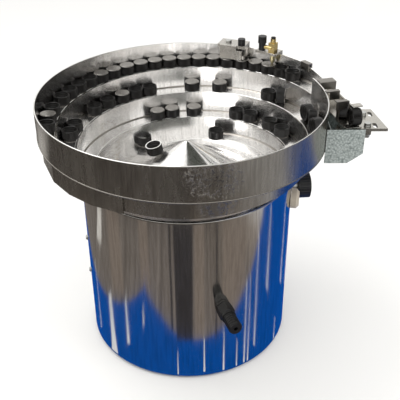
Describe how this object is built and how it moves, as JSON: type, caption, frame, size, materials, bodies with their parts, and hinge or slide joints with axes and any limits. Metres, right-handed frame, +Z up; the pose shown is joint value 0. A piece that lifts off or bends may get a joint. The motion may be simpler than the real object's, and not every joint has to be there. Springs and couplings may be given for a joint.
{
  "type": "vibratory bowl feeder",
  "caption": "Vibratory bowl feeder: stepped spiral bowl on inclined leaf springs over a round drive housing, with outlet tooling at the rim.",
  "frame": {"origin": "on the floor, at the centre of the four table bolts under the feet, on the housing's axis", "axes": "+Z up along the housing's axis; +X towards the outlet; the front, with the cable gland, faces -Y"},
  "size_m": [0.5856, 0.5074, 0.5031],
  "materials": {
    "polished_steel": "polished",
    "satin_steel": "satin",
    "track_steel": "polished",
    "cast_grey": "satin",
    "magnet_steel": "matt",
    "copper_coil": "varnished",
    "spring_laminate": "satin",
    "black_rubber": "matt",
    "black_plastic": "satin",
    "zinc": "satin",
    "brass": "polished",
    "beige_plastic": "matt",
    "pale_plastic": "satin",
    "pebbled_lining": "pebbled"
  },
  "bodies": {
    "base": {"base_plate": "cast_grey", "rubber_feet": "black_rubber", "foot_screws": "zinc", "housing_shell": "polished_steel", "housing_struts": "zinc", "housing_screws": "zinc", "lower_spring_clamps": "cast_grey", "lower_clamp_screws": "zinc", "lower_spacers": "zinc", "magnet_pedestal": "cast_grey", "magnet_core": "magnet_steel", "magnet_coil": "copper_coil", "gland_body": "black_plastic", "gland_nut": "black_plastic", "gland_sleeve": "black_plastic", "knob_collar": "zinc", "side_boss": "beige_plastic"},
    "clamp_knob": {"housing_knob": "black_plastic", "knob_cap": "pale_plastic"},
    "springs": {"leaf_springs": "spring_laminate"},
    "bowl": {"top_frame": "cast_grey", "upper_spring_clamps": "cast_grey", "upper_clamp_screws": "zinc", "upper_spacers": "zinc", "armature": "magnet_steel", "bowl_base": "satin_steel", "bowl_bolts": "zinc", "bowl_floor": "track_steel", "floor_cone": "track_steel", "pot_wall": "track_steel", "track_lower": "track_steel", "wall_lower": "track_steel", "track_middle": "track_steel", "wall_middle": "satin_steel", "track_upper": "track_steel", "rim_wall": "satin_steel", "left_skirt": "satin_steel", "outlet_track": "track_steel", "outlet_guard": "satin_steel", "tooling_block": "satin_steel", "hold_down_rear": "satin_steel", "hold_down_front": "satin_steel", "chute_sheet": "track_steel", "guard_tab": "satin_steel", "outlet_plate": "satin_steel", "clamp_bar": "satin_steel", "plate_screws": "zinc", "return_pan": "pebbled_lining", "rim_clip": "satin_steel", "gate_bracket": "satin_steel", "gate_lock_screw": "zinc", "air_bracket": "satin_steel", "air_valve": "black_plastic", "air_elbow": "brass", "air_nozzle": "brass"},
    "gate_blade": {"gate_blade": "track_steel"},
    "gate_knob": {"gate_knob": "black_plastic"},
    "flow_knob": {"flow_knob": "black_plastic"},
    "air_collar": {"air_collar": "black_plastic"}
  },
  "joints": [
    {"name": "bowl_twist", "type": "hinge", "parent": "base", "child": "springs", "pos_m": [0, 0, 0], "axis": [0, 0, 1], "range_deg": [-0.45, 0.45], "stiffness_Nm_per_rad": 60000, "deforming": ["leaf_springs"]},
    {"name": "bowl_lift", "type": "slide", "parent": "springs", "child": "bowl", "axis": [0, 0, 1], "range_m": [-0.00037, 0.00037]},
    {"name": "clamp_knob_turn", "type": "hinge", "parent": "base", "child": "clamp_knob", "pos_m": [0.1864, 0.015, 0.284], "axis": [0.9968, 0.0802, 0], "range_deg": [-90, 720]},
    {"name": "gate_knob_turn", "type": "hinge", "parent": "bowl", "child": "gate_knob", "pos_m": [0.1049, 0.21886, 0.49], "axis": [0, 0, 1], "range_deg": [-2170, 0]},
    {"name": "gate_lift", "type": "slide", "parent": "bowl", "child": "gate_blade", "axis": [0, 0, 1], "range_m": [0, 0.009]},
    {"name": "flow_knob_turn", "type": "hinge", "parent": "bowl", "child": "flow_knob", "pos_m": [0.14345, 0.2031, 0.49], "axis": [0, 0, 1], "range_deg": [-360, 1080]},
    {"name": "air_collar_press", "type": "slide", "parent": "bowl", "child": "air_collar", "axis": [0, 0, -1], "range_m": [0, 0.001], "stiffness_N_per_m": 800}
  ],
  "couplings": [
    {"joint": "bowl_lift", "follows": "bowl_twist", "m_per_rad": -0.046588},
    {"joint": "gate_knob_turn", "follows": "gate_lift", "rad_per_m": -4188.8}
  ]
}
